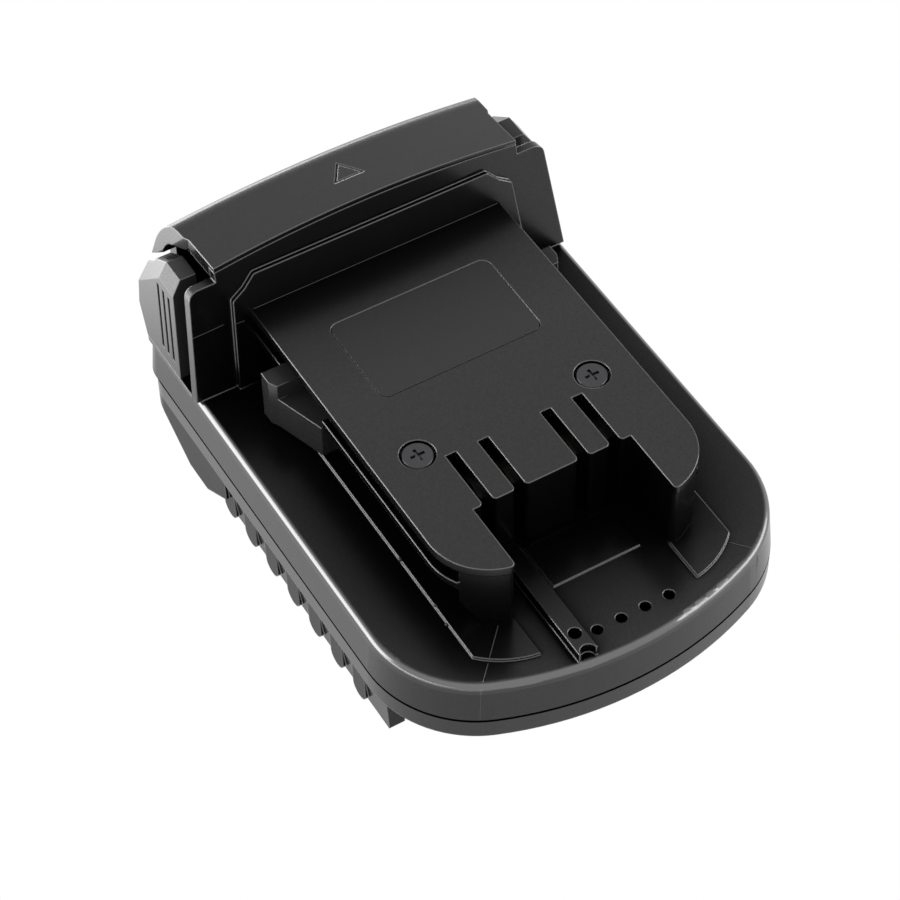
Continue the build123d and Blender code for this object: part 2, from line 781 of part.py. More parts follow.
def lower_housing():
    """The bottom shell: a ring, the roof over the battery, ribbed skirts, heels and battery rails."""
    ring = body_prism(0, ring_bottom, parting_height - seam, lower_rear_corner_radius)
    ring -= body_prism(wall, roof_top, parting_height)
    for shape in both_sides(skirt()) + both_sides(heel()) + both_sides(battery_rail()):
        ring += shape
    rear = box_between(-channel_half, channel_half, half_length - rear_wall, half_length,
                       heel_rear_rise, ring_bottom + overrun)
    ring += rear & body_prism(0, heel_rear_rise - overrun, roof_top, lower_rear_corner_radius)
    for x in (board_width / 2 - board_post_inset, board_post_inset - board_width / 2):
        for y in (board_front + board_post_inset, board_front + board_length - board_post_inset):
            ring += post(board_post_radius, x, y, roof_top - overrun, board_bottom)
            ring -= post(board_screw_radius, x, y, roof_top - plate / 2, board_bottom + overrun)
    for x, y in housing_screw_places():
        ring -= post(screw_radius, x, y, ring_bottom - overrun, roof_top + overrun)
        ring -= post(head_recess_radius, x, y, ring_bottom - overrun, ring_bottom + plate / 2)
    for cut in blade_tails(slip):
        ring -= cut
    pocket_y = battery_latch_setback - half_length
    ring -= box_between(-battery_latch_width / 2, battery_latch_width / 2, pocket_y,
                        pocket_y + battery_latch_length, ring_bottom - overrun,
                        ring_bottom + battery_latch_depth)
    return ring


def skirt():
    """The right side wall below the ring, leaning in, with round-ended grip ribs."""
    top_x = half_width - skirt_inset
    foot_x = top_x - skirt_draft
    section = [(channel_half, 0), (foot_x, 0), (top_x, ring_bottom + seam),
               (channel_half, ring_bottom + seam)]
    upright = Plane(origin=(0, heel_foot_front, 0), x_dir=(1, 0, 0), z_dir=(0, -1, 0))
    side = extrude(upright * make_face(Polyline(*section, close=True).edges()),
                   amount=heel_foot_front - skirt_front)
    lean_cut = [(skirt_front - overrun, -overrun), (skirt_front + skirt_front_lean, -overrun),
                (skirt_front, ring_bottom + seam), (skirt_front - overrun, ring_bottom + seam)]
    across = Plane(origin=(0, 0, 0), x_dir=(0, 1, 0), z_dir=(1, 0, 0))
    side -= extrude(across * make_face(Polyline(*lean_cut, close=True).edges()), amount=body_width)
    for number in range(rib_count):
        y = rib_centre + (number - (rib_count - 1) / 2) * rib_pitch
        side += grip_rib(y, foot_x, top_x)
    return side


def grip_rib(y, foot_x, top_x):
    """An upright rib with a round foot that stands proud at the foot and fades out at the top."""
    round_off = rib_length / 2
    outline = [Line((y - round_off, ring_bottom), (y - round_off, round_off)),
               ThreePointArc((y - round_off, round_off), (y, 0), (y + round_off, round_off)),
               Line((y + round_off, round_off), (y + round_off, ring_bottom)),
               Line((y + round_off, ring_bottom), (y - round_off, ring_bottom))]
    across = Plane(origin=(0, 0, 0), x_dir=(0, 1, 0), z_dir=(1, 0, 0))
    bar = extrude(across * make_face(Wire(outline).edges()), amount=body_width)
    wedge = [(channel_half + overrun, 0), (foot_x + rib_proud, 0), (top_x, ring_bottom),
             (channel_half + overrun, ring_bottom)]
    upright = Plane(origin=(0, y + round_off, 0), x_dir=(1, 0, 0), z_dir=(0, -1, 0))
    wedge = extrude(upright * make_face(Polyline(*wedge, close=True).edges()), amount=rib_length)
    return bar & wedge


def heel():
    """The right rear foot: a fuller cheek with a sloping front and a cut-away back."""
    front = half_length - heel_front_setback
    rear = half_length - heel_rear_setback
    foot_end = heel_foot_front + heel_foot_length
    outline = [(front, ring_bottom + overrun), (front, heel_front_rise), (heel_foot_front, 0), (foot_end, 0),
               (rear, heel_rear_rise), (half_length, heel_rear_rise), (half_length, ring_bottom + overrun)]
    across = Plane(origin=(channel_half, 0, 0), x_dir=(0, 1, 0), z_dir=(1, 0, 0))
    cheek = extrude(across * make_face(Polyline(*outline, close=True).edges()),
                    amount=half_width - channel_half)
    return cheek & body_prism(0, -overrun, ring_bottom + overrun, lower_rear_corner_radius)


def battery_rail():
    """The right rail that the battery slides on, along the inside of the skirt."""
    inner = battery_rail_gap / 2
    rear = skirt_front + skirt_front_lean + overrun + battery_rail_length
    return box_between(inner, channel_half + overrun, skirt_front + skirt_front_lean + overrun, rear,
                       battery_rail_rise, battery_rail_rise + battery_rail_plate)


def housing_screw_places():
    """Where the four screws from below go."""
    ends = (nose_screw_setback - half_length, half_length - heel_screw_setback)
    half = housing_screw_spacing / 2
    return [(side * half, y) for side in (1, -1) for y in ends]


def clip_holder():
    """The comb in the rail that keeps the terminal clips upright."""
    block = box_between(-holder_width / 2, holder_width / 2, holder_front, holder_front + holder_length,
                        floor_height, floor_height + holder_height)
    for centre in (inner_slot_centre, outer_slot_centre):
        pocket = box_between(centre - clip_root - seam, centre + clip_root + seam, holder_front - overrun,
                             clip_rear + seam, floor_height - overrun,
                             floor_height + holder_height + overrun)
        for side in both_sides(pocket):
            block -= side
    return block


def clip(centre):
    """A spring clip: two jaws that pinch towards the front, a back wall and a tail through the floor."""
    pinch_y = clip_front + clip_length / 4
    jaw = [(clip_root, clip_rear), (clip_root, holder_front), (clip_jaw_gap / 2 + clip_wall, pinch_y),
           (clip_mouth, clip_front), (clip_mouth - clip_wall, clip_front), (clip_jaw_gap / 2, pinch_y),
           (clip_root - clip_wall, holder_front), (clip_root - clip_wall, clip_rear - clip_wall)]
    left = [(-x, y) for x, y in reversed(jaw)]
    plan = [(centre + x, y) for x, y in jaw + left]
    body = extrude(flat(plan, clip_foot), amount=clip_height)
    tail = box_between(centre - clip_root + seam, centre + clip_root - seam, clip_rear - clip_wall,
                       clip_rear, tail_foot, clip_foot + overrun)
    return body + tail


def clip_tails(gap):
    """The space round each clip's tail, with a gap, for the slots in the floor."""
    slots = []
    for centre in (inner_slot_centre, outer_slot_centre):
        slot = box_between(centre - clip_root - gap, centre + clip_root + gap,
                           clip_rear - clip_wall - gap, clip_rear + gap,
                           tail_foot, floor_height + overrun)
        slots += both_sides(slot)
    return slots


def blade_centres():
    """The places across the body of the power blades and then the signal blades."""
    return (power_blade_centre, signal_blade_centre)


def blade(centre):
    """A flat terminal for the battery: a blade, and a tail that turns up through the roof."""
    middle = ring_bottom - block_height / 2
    x0 = centre - blade_thickness / 2
    tongue = box_between(x0, x0 + blade_thickness, block_front - blade_length, block_rear - overrun,
                         middle - blade_height / 2, middle + blade_height / 2)
    nose = tongue.edges().filter_by(Axis.X).group_by(Axis.Y)[0]
    tongue = chamfer(nose, blade_thickness)
    tail_y = block_rear - overrun
    tail = box_between(x0, x0 + blade_thickness, tail_y - blade_tail_length, tail_y, middle, board_bottom)
    return tongue + tail


def blade_tails(gap):
    """The space round each blade's tail, with a gap, for the slots in the roof."""
    slots = []
    tail_y = block_rear - overrun
    for centre in blade_centres():
        x0 = centre - blade_thickness / 2
        slot = box_between(x0 - gap, x0 + blade_thickness + gap, tail_y - blade_tail_length - gap,
                           tail_y + gap, ring_bottom - overrun, roof_top + overrun)
        slots += both_sides(slot)
    return slots


def blade_block():
    """The block under the roof that the blades stand in."""
    block = box_between(-block_width / 2, block_width / 2, block_front, block_rear,
                        ring_bottom - block_height, ring_bottom)
    block = fillet(block.edges().filter_by(Axis.Z), overrun)
    middle = ring_bottom - block_height / 2
    for centre in blade_centres():
        x0 = centre - blade_thickness / 2
        tongue = box_between(x0, x0 + blade_thickness, block_front - overrun, block_rear - overrun,
                             middle - blade_height / 2, middle + blade_height / 2)
        tail_y = block_rear - overrun
        tail = box_between(x0, x0 + blade_thickness, tail_y - blade_tail_length, tail_y, middle,
                           ring_bottom + overrun)
        for side in both_sides(tongue + tail):
            block -= side
    return block


def circuit_board():
    """The board on its four posts, with screw holes."""
    board = box_between(-board_width / 2, board_width / 2, board_front, board_front + board_length,
                        board_bottom, board_top)
    for x, y in board_screw_places():
        board -= post(board_screw_radius, x, y, board_bottom - overrun, board_top + overrun)
    return board


def board_screw_places():
    """The four corners where the board is screwed down."""
    half = board_width / 2 - board_post_inset
    ends = (board_front + board_post_inset, board_front + board_length - board_post_inset)
    return [(side * half, y) for side in (1, -1) for y in ends]


def board_components():
    """What stands on the board: lead pads, two power switches, a control chip and a capacitor."""
    pieces = []
    for centre in (inner_slot_centre, outer_slot_centre):
        pad_front = board_front + board_post_inset / 2
        pad = box_between(centre - pad_block_width / 2, centre + pad_block_width / 2,
                          pad_front, pad_front + pad_block_length, board_top, board_top + pad_block_height)
        pieces += both_sides(pad)
    middle = board_front + board_length / 2
    power = box_between(power_chip_width / 2, power_chip_width * 3 / 2, middle - power_chip_length / 2,
                        middle + power_chip_length / 2, board_top, board_top + power_chip_height)
    pieces += both_sides(power)
    chip_y = middle + power_chip_length + logic_chip_length / 2
    pieces.append(box_between(-logic_chip_width / 2, logic_chip_width / 2, chip_y - logic_chip_length / 2,
                              chip_y + logic_chip_length / 2, board_top, board_top + logic_chip_height))
    top = board_top + capacitor_height
    pieces.append(post(capacitor_radius, -power_chip_width * 2, chip_y, board_top, top))
    return pieces


def lead(centre, radius):
    """A short insulated wire from a clip's tail to its pad on the board."""
    side_step = lead_bend_radius
    start = (centre, clip_rear, lead_height)
    end_y = board_front + board_post_inset / 2
    run = (end_y - clip_rear) / 3
    end_x = centre + side_step / 2
    route = [start, (centre, clip_rear + run, lead_height), (end_x, end_y - run, lead_height),
             (end_x, end_y, lead_height)]
    path = FilletPolyline(*route, radius=min(lead_bend_radius, run))
    section = Plane(origin=start, z_dir=(0, 1, 0)) * RegularPolygon(radius, 8)
    return sweep(section, path=path)


def place_screws(places, screw, head_z, up):
    """Copies of a screw, head up or head down."""
    turn = Rot(0, 0, 0) if up else Rot(180, 0, 0)
    return [Pos(x, y, head_z) * turn * screw for x, y in places]


def save(name, shapes):
    """Write one named sub-part."""
    shapes = shapes if isinstance(shapes, list) else [shapes]
    solids = [solid for shape in shapes for solid in shape.solids()]
    export_step(solids[0] if len(solids) == 1 else Compound(children=solids), f"parts/{name}.step")


def save_pair(name, right):
    """Write a right-hand sub-part and its mirror image."""
    right_shape, left_shape = both_sides(right)
    save(f"{name}_right", right_shape)
    save(f"{name}_left", left_shape)


save("upper_housing", upper_housing())
save("rail_platform", rail_platform())
save("rear_cap", rear_cap())
save("lower_housing", lower_housing())
save("label_plate", label_field(seam, rail_top - label_recess, rail_top - label_recess + label_film))
save_pair("release_button", release_button())
save_pair("latch_arm", latch_arm())
save_pair("button_spring", button_spring())
save("clip_holder", clip_holder())
save("positive_clip", clip(outer_slot_centre))
save("negative_clip", clip(-outer_slot_centre))
save_pair("signal_clip", clip(inner_slot_centre))
save("blade_block", blade_block())
save("positive_blade", blade(power_blade_centre))
save("negative_blade", blade(-power_blade_centre))
save("signal_blades", both_sides(blade(signal_blade_centre)))
save("circuit_board", circuit_board())
save("board_components", board_components())
save("positive_lead", lead(outer_slot_centre, lead_radius))
save("negative_lead", lead(-outer_slot_centre, lead_radius))
save("signal_leads", both_sides(lead(inner_slot_centre, signal_lead_radius)))

rail_screw = pan_screw(screw_radius, screw_length, screw_head_radius, screw_head_height)
save("rail_screws", place_screws([(screw_x, screw_y), (-screw_x, screw_y)], rail_screw,
                                 rail_top - head_recess_depth, True))
body_screw = pan_screw(screw_radius, housing_screw_length, screw_head_radius, plate / 2 - seam)
save("housing_screws", place_screws(housing_screw_places(), body_screw, ring_bottom + plate / 2, False))
board_screw = pan_screw(board_screw_radius, board_screw_length, board_head_radius, board_head_height)
save("board_screws", place_screws(board_screw_places(), board_screw, board_top, True))
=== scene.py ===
from math import cos, pi, radians, sin

import bpy
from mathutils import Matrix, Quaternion, Vector


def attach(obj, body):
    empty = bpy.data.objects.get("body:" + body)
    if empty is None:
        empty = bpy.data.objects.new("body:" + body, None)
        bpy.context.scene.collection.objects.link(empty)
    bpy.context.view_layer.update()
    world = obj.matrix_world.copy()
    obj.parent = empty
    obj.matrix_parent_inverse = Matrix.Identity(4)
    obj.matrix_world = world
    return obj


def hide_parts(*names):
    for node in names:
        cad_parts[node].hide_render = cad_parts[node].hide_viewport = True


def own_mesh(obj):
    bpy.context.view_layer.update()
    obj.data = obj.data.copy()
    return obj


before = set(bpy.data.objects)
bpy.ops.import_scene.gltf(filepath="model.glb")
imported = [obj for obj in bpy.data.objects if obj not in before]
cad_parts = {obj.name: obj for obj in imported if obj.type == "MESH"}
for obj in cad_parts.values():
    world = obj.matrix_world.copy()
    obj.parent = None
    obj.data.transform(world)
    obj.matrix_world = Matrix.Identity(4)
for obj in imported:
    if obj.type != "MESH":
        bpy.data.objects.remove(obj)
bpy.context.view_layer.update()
bpy.ops.object.select_all(action="DESELECT")


# Camera. A long lens looks down on the left front of the adapter from half a metre away,
# so that the rail runs up the picture to the right and the nose comes towards the viewer.
camera_place = Vector((-0.1795, -0.3041, 0.4332))
aim_point = Vector((-0.0058, -0.0012, 0.0230))
camera_roll = radians(-1.175)
focal_length = 119.5
sensor_width = 36.0

bpy.ops.object.camera_add(location=camera_place)
camera = bpy.context.object
camera.name = "studio_camera"
look = (aim_point - camera_place).to_track_quat("-Z", "Y")
camera.rotation_euler = (look @ Quaternion((0, 0, 1), camera_roll)).to_euler()
camera.data.lens = focal_length
camera.data.sensor_width = sensor_width
bpy.context.scene.camera = camera
bpy.context.scene.view_settings.view_transform = "Standard"


# Housing mouldings. The two shells, the rail and the cap are injection-moulded ABS in black. The mould
# is finely textured, so the plastic is satin: flat faces stay dark. A painted highlight draws bright lines
# along small edges and the rounded rim, painted shade lowers the shine where the surface is closed in,
# and the skirts get far less shine, so they render darker.
skirt_top = 0.0097
# Height and width of the parting joint, where the shine is taken out as painted shade of the gap.
joint_height = 0.01402
joint_width = 0.0006
rim_height = 0.0220
rim_round = 0.0021
moulded_shine = 0.5
skirt_shine = 0.06
# Painted highlight on small edges and the rim: its extra shine and its smoother finish.
edge_highlight_shine = 1.6
edge_highlight_roughness = 0.18
# Painted shade: the reach of closing-in parts, and how strongly walls and floors darken within it.
painted_shade_distance = 0.03
wall_painted_shade = 0.3
floor_painted_shade = 4.0
floor_facing = (0.9, 0.99)
rim_lower_facing = (0.05, 0.35)
rim_upper_facing = (0.995, 0.88)
edge_turn = (0.99, 0.9)
grain_spread = (0.85, 1.15)
gloss_spread = (0.85, 1.15)
flow_grains = 60
plastic_ior = 1.5


def linear(hex_colour):
    """An sRGB hex colour as linear red, green, blue and alpha."""
    channels = [int(hex_colour[start:start + 2], 16) / 255 for start in (0, 2, 4)]
    return [c / 12.92 if c <= 0.04045 else ((c + 0.055) / 1.055) ** 2.4 for c in channels] + [1.0]


def add_node(material, kind, settings=None, links=None):
    """Adds one node, with its settings by socket or property and its links from other nodes' outputs."""
    node = material.node_tree.nodes.new(kind)
    for key, value in (settings or {}).items():
        if isinstance(key, int) or key in node.inputs:
            node.inputs[key].default_value = value
        else:
            setattr(node, key, value)
    for key, output in (links or {}).items():
        material.node_tree.links.new(output, node.inputs[key])
    return node


def new_material(name):
    """An empty node material and the surface socket that its shader goes to."""
    material = bpy.data.materials.new(name)
    material.use_nodes = True
    material.node_tree.nodes.clear()
    output = material.node_tree.nodes.new("ShaderNodeOutputMaterial")
    return material, output.inputs["Surface"]


def edge_highlight_mask(material, facing, height, edge_mm):
    """The rounded normal of small edges, and the mask of the painted highlight: how far a surface is such an
    edge or the rounded rim.
    """
    rounded = add_node(material, "ShaderNodeBevel", {"Radius": edge_mm / 1000, "samples": 6})
    geometry = add_node(material, "ShaderNodeNewGeometry")
    turn = add_node(material, "ShaderNodeVectorMath", {"operation": "DOT_PRODUCT"},
                    {0: rounded.outputs["Normal"], 1: geometry.outputs["Normal"]})
    small = add_node(material, "ShaderNodeMapRange", {"From Min": edge_turn[0], "From Max": edge_turn[1]},
                     {"Value": turn.outputs["Value"]})
    band = add_node(material, "ShaderNodeMath", {"operation": "COMPARE", 1: rim_height, 2: rim_round / 2},
                    {0: height})
    upward = add_node(material, "ShaderNodeMapRange",
                      {"From Min": rim_lower_facing[0], "From Max": rim_lower_facing[1]}, {"Value": facing})
    outward = add_node(material, "ShaderNodeMapRange",
                       {"From Min": rim_upper_facing[0], "From Max": rim_upper_facing[1]}, {"Value": facing})
    slope = add_node(material, "ShaderNodeMath", {"operation": "MULTIPLY"},
                     {0: upward.outputs["Result"], 1: outward.outputs["Result"]})
    rim = add_node(material, "ShaderNodeMath", {"operation": "MULTIPLY"},
                   {0: band.outputs["Value"], 1: slope.outputs["Value"]})
    edge = add_node(material, "ShaderNodeMath", {"operation": "MAXIMUM"},
                    {0: small.outputs["Result"], 1: rim.outputs["Value"]})
    return rounded.outputs["Normal"], edge.outputs["Value"]


def shine_level(material, facing, height, edge, grain):
    """The strength of the shine: painted shade lowers it where it is closed in and takes it out in the joint,
    and a painted highlight raises it on small edges and the rim.
    """
    # Painted shade: the shine falls where nearby parts close the surface in, most on upward floors.
    nearby = add_node(material, "ShaderNodeAmbientOcclusion", {"Distance": painted_shade_distance, "samples": 8})
    floor = add_node(material, "ShaderNodeMapRange",
                     {"From Min": floor_facing[0], "From Max": floor_facing[1]}, {"Value": facing})
    painted_shade_power = add_node(material, "ShaderNodeMath", {"operation": "MULTIPLY_ADD", 1: floor_painted_shade, 2: wall_painted_shade},
                    {0: floor.outputs["Result"]})
    share = add_node(material, "ShaderNodeMath", {"operation": "POWER"},
                     {0: nearby.outputs["AO"], 1: painted_shade_power.outputs["Value"]})
    # The skirts below skirt_top get far less shine, so they render darker.
    skirt = add_node(material, "ShaderNodeMath", {"operation": "LESS_THAN", 1: skirt_top}, {0: height})
    body_shine = add_node(material, "ShaderNodeMapRange", {"To Min": moulded_shine, "To Max": skirt_shine},
                          {"Value": skirt.outputs["Value"]})
    level = add_node(material, "ShaderNodeMath", {"operation": "MULTIPLY"},
                     {0: share.outputs["Value"], 1: body_shine.outputs["Result"]})
    pitted = add_node(material, "ShaderNodeMapRange",
                      {"From Min": 0.3, "From Max": 0.7, "To Min": grain_spread[0], "To Max": grain_spread[1]},
                      {"Value": grain})
    grained = add_node(material, "ShaderNodeMath", {"operation": "MULTIPLY"},
                       {0: level.outputs["Value"], 1: pitted.outputs["Result"]})
    # Painted highlight: small edges and the rim get extra shine.
    shine = add_node(material, "ShaderNodeMath", {"operation": "MULTIPLY_ADD", 1: edge_highlight_shine},
                     {0: edge, 2: grained.outputs["Value"]})
    # Painted shade: the shine is taken out in a thin band at the parting joint.
    joint = add_node(material, "ShaderNodeMath",
                     {"operation": "COMPARE", 1: joint_height, 2: joint_width / 2}, {0: height})
    bare = add_node(material, "ShaderNodeMath", {"operation": "SUBTRACT", 0: 1.0},
                    {1: joint.outputs["Value"]})
    result = add_node(material, "ShaderNodeMath", {"operation": "MULTIPLY"},
                      {0: shine.outputs["Value"], 1: bare.outputs["Value"]})
    return result.outputs["Value"]


def moulded_plastic(name, colour, pale_colour, roughness, grain_mm, grain_depth_mm, edge_mm):
    """Moulded or extruded plastic: a fine grain, a slow change of gloss, rounded edges with a painted
    highlight, and painted shade where it is closed in and in the joint.
    """
    material, surface = new_material(name)
    place = add_node(material, "ShaderNodeTexCoord").outputs["Object"]
    normal = add_node(material, "ShaderNodeNewGeometry").outputs["Normal"]
    facing = add_node(material, "ShaderNodeSeparateXYZ", None, {"Vector": normal}).outputs["Z"]
    height = add_node(material, "ShaderNodeSeparateXYZ", None, {"Vector": place}).outputs["Z"]
    grain_noise = add_node(material, "ShaderNodeTexNoise",
                           {"Scale": 1000 / grain_mm, "Detail": 3.0, "Roughness": 0.6}, {"Vector": place})
    flow_noise = add_node(material, "ShaderNodeTexNoise",
                          {"Scale": 1000 / (grain_mm * flow_grains), "Detail": 2.0}, {"Vector": place})
    grain = grain_noise.outputs["Fac"]
    flow = flow_noise.outputs["Fac"]
    tint = add_node(material, "ShaderNodeMix", {"data_type": "RGBA"}, {"Factor": flow})
    tint.inputs["A"].default_value = linear(colour)
    tint.inputs["B"].default_value = linear(pale_colour)
    gloss = add_node(material, "ShaderNodeMapRange",
                     {"To Min": roughness * gloss_spread[0], "To Max": roughness * gloss_spread[1]},
                     {"Value": flow})
    rounded, edge = edge_highlight_mask(material, facing, height, edge_mm)
    bump = add_node(material, "ShaderNodeBump", {"Strength": 0.35, "Distance": grain_depth_mm / 1000},
                    {"Height": grain, "Normal": rounded})
    # Painted highlight: small edges and the rim get a smoother finish.
    edge_gloss = add_node(material, "ShaderNodeMix", {"data_type": "FLOAT", 3: edge_highlight_roughness},
                       {0: edge, 2: gloss.outputs["Result"]})
    shader = add_node(material, "ShaderNodeBsdfPrincipled", {"IOR": plastic_ior},
                      {"Base Color": tint.outputs["Result"], "Roughness": edge_gloss.outputs[0],
                       "Specular IOR Level": shine_level(material, facing, height, edge, grain),
                       "Normal": bump.outputs["Normal"]})
    material.node_tree.links.new(shader.outputs["BSDF"], surface)
    return material


def finish_node(node, material):
    """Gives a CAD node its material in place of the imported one."""
    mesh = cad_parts[node].data
    mesh.materials.clear()
    mesh.materials.append(material)


housing_plastic = moulded_plastic("black_abs_moulded", "030303", "050505", 0.24, 0.35, 0.01, 0.4)
for housing in ("upper_housing", "lower_housing", "rail_platform", "rear_cap"):
    finish_node(housing, housing_plastic)


# Release buttons and latches. The buttons are the same ABS from a smoother mould, in a paler colour that
# paints their facets lighter. The latches are nylon, which is tougher and duller.
button_plastic = moulded_plastic("button_abs_moulded", "232323", "292929", 0.2, 0.35, 0.01, 0.3)
latch_plastic = moulded_plastic("latch_nylon_moulded", "242424", "2a2a2a", 0.24, 0.35, 0.01, 0.3)
for side in ("left", "right"):
    finish_node(f"release_button_{side}", button_plastic)
    finish_node(f"latch_arm_{side}", latch_plastic)


# Moulding marks. Where two flows of plastic met, the shells keep fine raised lines of paler ABS, which
# catch the light. Along the crease where the rail closes on the front wall, a line of the same paler ABS
# is a painted highlight. A few specks of flash stand on the left pad's edge.
def surface_line(name, points_mm, radius_mm, material):
    """A fine round line through points, half sunk in the surface."""
    curve = bpy.data.curves.new(name, "CURVE")
    curve.dimensions = "3D"
    curve.bevel_depth = radius_mm / 1000
    curve.bevel_resolution = 1
    curve.use_fill_caps = True
    path = curve.splines.new("POLY")
    path.points.add(len(points_mm) - 1)
    for point, (x, y, z) in zip(path.points, points_mm):
        point.co = (x / 1000, y / 1000, z / 1000, 1.0)
    line = bpy.data.objects.new(name, curve)
    bpy.context.collection.objects.link(line)
    bpy.ops.object.select_all(action="DESELECT")
    line.select_set(True)
    bpy.context.view_layer.objects.active = line
    bpy.ops.object.convert(target="MESH")
    bpy.ops.object.shade_smooth()
    line = bpy.context.object
    line.data.materials.clear()
    line.data.materials.append(material)
    return line


weld_and_highlight_plastic = moulded_plastic("abs_weld_and_highlight_line", "2c2c2c", "343434", 0.3, 0.3, 0.01, 0.02)
weld_radius = 0.08
weld_and_highlight_lines = {
    "weld_line_ear": [(-37.9, 35.02, 37.3), (-35.0, 35.03, 37.27), (-31.6, 35.04, 37.4)],
    "weld_line_panel": [(-29.7, 34.02, 37.4), (-27.9, 34.01, 37.3)],
    # The crease line is a painted highlight along the crease where the rail meets the front wall.
    "crease_highlight_line": [(-25.8, 34.3, 39.0), (0.0, 34.3, 39.0), (25.8, 34.3, 39.0)],
    "weld_line_pad_left": [(-19.2, -39.9, 23.55), (-24.0, -44.95, 23.55)],
    "weld_line_rim_left": [(-24.6, -45.5, 23.0), (-27.2, -48.2, 23.0), (-27.75, -48.75, 22.75),
                           (-28.1, -49.05, 22.2), (-28.27, -49.22, 21.2), (-28.75, -49.62, 14.4)],
    "weld_line_rim_right": [(25.2, -45.0, 23.0), (27.6, -47.8, 23.0), (28.05, -48.4, 22.8),
                            (28.35, -48.85, 22.3), (28.46, -49.1, 21.4), (28.1, -49.8, 15.4)],
}
for line_name, line_points in weld_and_highlight_lines.items():
    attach(surface_line(line_name, line_points, weld_radius, weld_and_highlight_plastic), "body")

flash_specks = [(-26.3, -18.6, 23.5, 0.42), (-26.15, -30.5, 23.5, 0.36), (-26.5, -34.8, 23.1, 0.3)]
for number, (x, y, z, radius) in enumerate(flash_specks, 1):
    bpy.ops.mesh.primitive_uv_sphere_add(segments=16, ring_count=8, radius=radius / 1000,
                                         location=(x / 1000, y / 1000, z / 1000))
    speck = bpy.context.object
    speck.name = f"flash_speck_{number}"
    bpy.ops.object.transform_apply(location=True, rotation=False, scale=False)
    bpy.ops.object.shade_smooth()
    speck.data.materials.append(weld_and_highlight_plastic)
    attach(speck, "body")


# Label. The place for it on the rail holds a bare polyester film in black. It is smoother than the
# moulded plastic round it, so that only its edge shows.
label_film = moulded_plastic("polyester_film_printed", "080808", "0a0a0a", 0.18, 0.2, 0.005, 0.1)
finish_node("label_plate", label_film)


# Terminals. Clips and blades are stamped from tinned brass, with fine rolling lines along them. They
# stand in holders of glass-filled nylon, which is dull and a little rough.
def rolled_metal(name, colour, worn_colour, roughness, line_mm):
    """Sheet or drawn metal with fine lines left by rolling."""
    material, surface = new_material(name)
    place = add_node(material, "ShaderNodeTexCoord").outputs["Object"]
    along = add_node(material, "ShaderNodeMapping", {"Scale": (1.0, 0.05, 1.0)}, {"Vector": place})
    lines = add_node(material, "ShaderNodeTexNoise", {"Scale": 1000 / line_mm, "Detail": 2.0},
                     {"Vector": along.outputs["Vector"]}).outputs["Fac"]
    tint = add_node(material, "ShaderNodeMix", {"data_type": "RGBA"}, {"Factor": lines})
    tint.inputs["A"].default_value = linear(colour)
    tint.inputs["B"].default_value = linear(worn_colour)
    gloss = add_node(material, "ShaderNodeMapRange",
                     {"To Min": roughness * 0.7, "To Max": roughness * 1.3}, {"Value": lines})
    bump = add_node(material, "ShaderNodeBump", {"Strength": 0.2, "Distance": 0.00001}, {"Height": lines})
    shader = add_node(material, "ShaderNodeBsdfPrincipled", {"Metallic": 1.0},
                      {"Base Color": tint.outputs["Result"], "Roughness": gloss.outputs["Result"],
                       "Normal": bump.outputs["Normal"]})
    material.node_tree.links.new(shader.outputs["BSDF"], surface)
    return material


tinned_brass = rolled_metal("tinned_brass_stamped", "b0afaa", "9c9b94", 0.32, 0.3)
for terminal in ("positive_clip", "negative_clip", "signal_clip_left", "signal_clip_right",
                 "positive_blade", "negative_blade", "signal_blades"):
    finish_node(terminal, tinned_brass)
holder_plastic = moulded_plastic("glass_filled_nylon_moulded", "121212", "1a1a1a", 0.5, 0.3, 0.03, 0.15)
for holder in ("clip_holder", "blade_block"):
    finish_node(holder, holder_plastic)


# Button springs. Each is a coil of drawn steel wire, which glints along its turns. It stands between a
# rib inside the hump and its button.
spring_seat_x = 18.0
spring_end_x = 33.0
spring_y = 49.3
spring_z = 31.4
coil_radius = 2.1
coil_wire_radius = 0.3
coil_turns = 5
steps_per_turn = 24

spring_steel = rolled_metal("spring_steel_drawn", "8d8d8a", "74736f", 0.3, 0.2)
spring_length = spring_end_x - spring_seat_x
coil_steps = coil_turns * steps_per_turn
coil_run = spring_length - 2 * coil_wire_radius
for side, sign in (("left", -1), ("right", 1)):
    coil_points = [(sign * (spring_seat_x + coil_wire_radius + coil_run * step / coil_steps),
                    spring_y + coil_radius * cos(2 * pi * step / steps_per_turn),
                    spring_z + coil_radius * sin(2 * pi * step / steps_per_turn))
                   for step in range(coil_steps + 1)]
    coil = surface_line(f"coil_{side}", coil_points, coil_wire_radius, spring_steel)
    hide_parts(f"button_spring_{side}")
    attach(coil, "body")
    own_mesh(coil)


# Screws. The rail and housing screws are black oxide steel, which is nearly as dark as the plastic
# but reflects like metal. The small screws that hold the board are zinc-plated and pale.
black_oxide = rolled_metal("steel_black_oxide", "454547", "4e4e50", 0.26, 0.4)
zinc_plate = rolled_metal("steel_zinc_plated", "a9abab", "8f9291", 0.3, 0.3)
for screws in ("rail_screws", "housing_screws"):
    finish_node(screws, black_oxide)
finish_node("board_screws", zinc_plate)


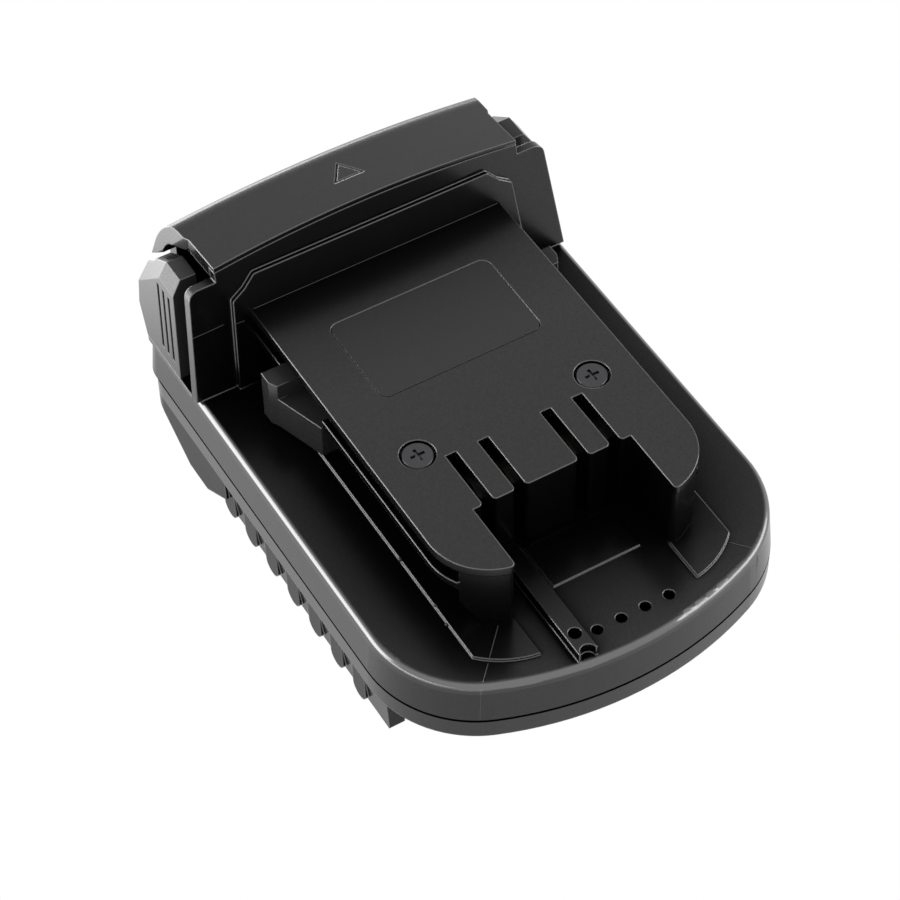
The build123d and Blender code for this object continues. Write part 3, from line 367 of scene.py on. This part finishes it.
# Circuit board and wires, closed inside the body. Glass epoxy under green solder mask carries dull
# black epoxy packages, and the wires have smooth PVC insulation in red, black and white.
board_mask = moulded_plastic("solder_mask_screened", "1d5a36", "1a4f30", 0.35, 0.4, 0.01, 0.1)
package_resin = moulded_plastic("epoxy_package_moulded", "1b1b1b", "232323", 0.5, 0.2, 0.02, 0.1)
red_wire = moulded_plastic("pvc_red_extruded", "a01818", "8c1414", 0.4, 0.5, 0.01, 0.1)
black_wire = moulded_plastic("pvc_black_extruded", "141414", "1c1c1c", 0.4, 0.5, 0.01, 0.1)
white_wire = moulded_plastic("pvc_white_extruded", "c9c8c2", "bdbcb4", 0.4, 0.5, 0.01, 0.1)
finish_node("circuit_board", board_mask)
finish_node("board_components", package_resin)
finish_node("positive_lead", red_wire)
finish_node("negative_lead", black_wire)
finish_node("signal_leads", white_wire)


# Table. The adapter stands on seamless white paper, which the camera sees evenly white. Behind it on the
# left a painted pool of light makes the paper glow in glossy rays only, and shows as a bright zone in the
# gloss of the side walls.
table_size = 6.0
table_top = -0.0005
painted_glow_direction = (-0.79, 0.61, 0.0)
painted_glow_start = 0.08
painted_glow_full = 0.2
painted_glow_gain = 5.0

bpy.ops.mesh.primitive_plane_add(size=table_size, location=(0, 0, table_top))
table = bpy.context.object
table.name = "studio_table"
table_finish, table_surface = new_material("table_paper_white")
rays = add_node(table_finish, "ShaderNodeLightPath")
seen = add_node(table_finish, "ShaderNodeMath", {"operation": "MAXIMUM"},
                {0: rays.outputs["Is Camera Ray"], 1: rays.outputs["Is Glossy Ray"]})
paper = add_node(table_finish, "ShaderNodeBsdfDiffuse", {"Color": linear("f4f4f4")})
ground = add_node(table_finish, "ShaderNodeTexCoord")
away = add_node(table_finish, "ShaderNodeVectorMath", {"operation": "DOT_PRODUCT", 1: painted_glow_direction},
                {0: ground.outputs["Object"]})
# Painted pool of light: in glossy rays the paper behind on the left glows up to this many times brighter.
painted_glow_zone = add_node(table_finish, "ShaderNodeMapRange",
                       {"From Min": painted_glow_start, "From Max": painted_glow_full, "To Max": painted_glow_gain},
                       {"Value": away.outputs["Value"]})
strength = add_node(table_finish, "ShaderNodeMath", {"operation": "MULTIPLY_ADD", 2: 1.0},
                    {0: rays.outputs["Is Glossy Ray"], 1: painted_glow_zone.outputs["Result"]})
glow = add_node(table_finish, "ShaderNodeEmission", {"Color": linear("ffffff")},
                {"Strength": strength.outputs["Value"]})
blend = add_node(table_finish, "ShaderNodeMixShader", None,
                 {"Fac": seen.outputs["Value"], 1: paper.outputs["BSDF"], 2: glow.outputs["Emission"]})
table_finish.node_tree.links.new(blend.outputs["Shader"], table_surface)
table.data.materials.append(table_finish)


# Light. A white tent lights the adapter evenly, and two large soft boxes stand low behind on the left
# and in front on the right. They draw the bright lines along the rim and the edges, together with the
# painted edge highlight.
tent_strength = 1.0
light_target = (0, 0, 0.02)

world = bpy.data.worlds.new("white_tent")
world.use_nodes = True
world.node_tree.nodes["Background"].inputs["Color"].default_value = linear("ffffff")
world.node_tree.nodes["Background"].inputs["Strength"].default_value = tent_strength
bpy.context.scene.world = world


def soft_box(name, place, width, height, power):
    """A rectangular soft box that faces the adapter."""
    bpy.ops.object.light_add(type="AREA", location=place)
    lamp = bpy.context.object
    lamp.name = name
    lamp.rotation_euler = (Vector(light_target) - Vector(place)).to_track_quat("-Z", "Y").to_euler()
    lamp.data.shape = "RECTANGLE"
    lamp.data.size = width
    lamp.data.size_y = height
    lamp.data.energy = power


soft_box("edge_light_left", (-0.92, 0.68, 0.32), 1.1, 0.66, 9.0)
soft_box("edge_light_right", (1.0, -0.48, 0.42), 1.1, 0.6, 6.0)
